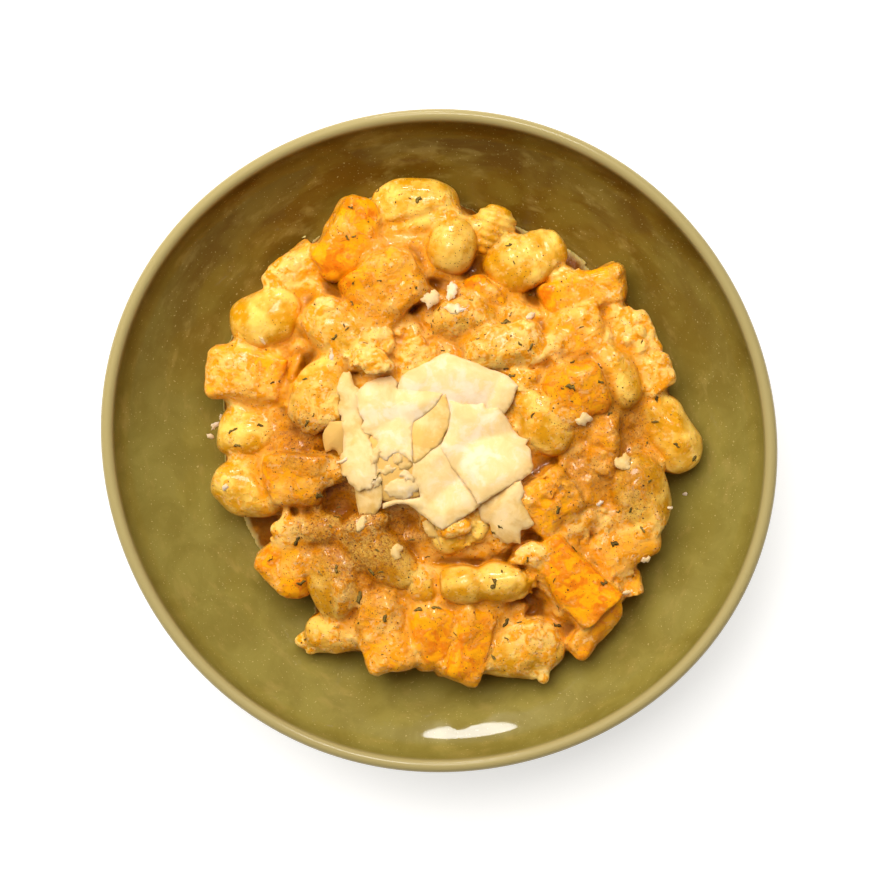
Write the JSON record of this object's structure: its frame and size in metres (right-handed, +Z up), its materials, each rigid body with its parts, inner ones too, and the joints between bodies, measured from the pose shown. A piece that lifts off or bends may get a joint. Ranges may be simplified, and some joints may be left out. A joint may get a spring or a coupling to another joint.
{
  "type": "potato gnocchi dish",
  "caption": "Potato gnocchi with squash in cream sauce under cheese shavings, heaped in a shallow glazed bowl on a foot ring.",
  "frame": {"origin": "centre of the bowl's foot, on the plane it stands on", "axes": "+Z up out of the bowl; +X and +Y across it, with the bowl's slightly longer way nearest to X"},
  "size_m": [0.2206, 0.2164, 0.0488],
  "materials": {
    "glaze": "glossy olive-green glazed stoneware, paler at the rim, with a bare foot",
    "sauce": "moist orange cream sauce with herbs and pepper",
    "gnocchi": "soft yellow potato dough, lightly coated with sauce",
    "squash": "cooked orange squash, moist and soft-edged",
    "cheese": "pale hard cheese, satin"
  },
  "bodies": {
    "root": {"bowl": "glaze", "gnocco_broken": "gnocchi", "gnocco_front": "gnocchi", "gnocco_front_corner": "gnocchi", "gnocco_front_left": "gnocchi", "gnocco_front_long": "gnocchi", "gnocco_front_short": "gnocchi", "gnocco_left_inner": "gnocchi", "gnocco_left_large": "gnocchi", "gnocco_left_lower": "gnocchi", "gnocco_left_outer": "gnocchi", "gnocco_left_tucked": "gnocchi", "gnocco_left_upper": "gnocchi", "gnocco_middle_rear": "gnocchi", "gnocco_middle_right": "gnocchi", "gnocco_peppered": "gnocchi", "gnocco_rear": "gnocchi", "gnocco_rear_ridged": "gnocchi", "gnocco_rear_right": "gnocchi", "gnocco_rear_upright": "gnocchi", "gnocco_right_inner": "gnocchi", "gnocco_right_lower": "gnocchi", "gnocco_right_outer": "gnocchi", "gnocco_right_upper": "gnocchi", "gnocco_small": "gnocchi", "sauce": "sauce", "shaving_front": "cheese", "shaving_front_right": "cheese", "shaving_left_chip": "cheese", "shaving_left_strip": "cheese", "shaving_left_top": "cheese", "shaving_middle_flake": "cheese", "shaving_rear": "cheese", "shaving_right": "cheese", "squash_front_left": "squash", "squash_front_middle": "squash", "squash_front_upright": "squash", "squash_front_wedge": "squash", "squash_inner_front": "squash", "squash_inner_rear": "squash", "squash_inner_right": "squash", "squash_left_block": "squash", "squash_left_cube": "squash", "squash_left_dark": "squash", "squash_left_rear": "squash", "squash_rear_left": "squash", "squash_rear_right": "squash", "squash_rear_small": "squash", "squash_rear_top": "squash", "squash_right_bar": "squash", "squash_right_bit": "squash", "squash_right_corner": "squash", "squash_right_edge": "squash", "squash_right_front": "squash", "squash_right_rear": "squash", "squash_right_slice": "squash", "squash_right_top": "squash", "squash_tucked": "squash"}
  },
  "joints": []
}
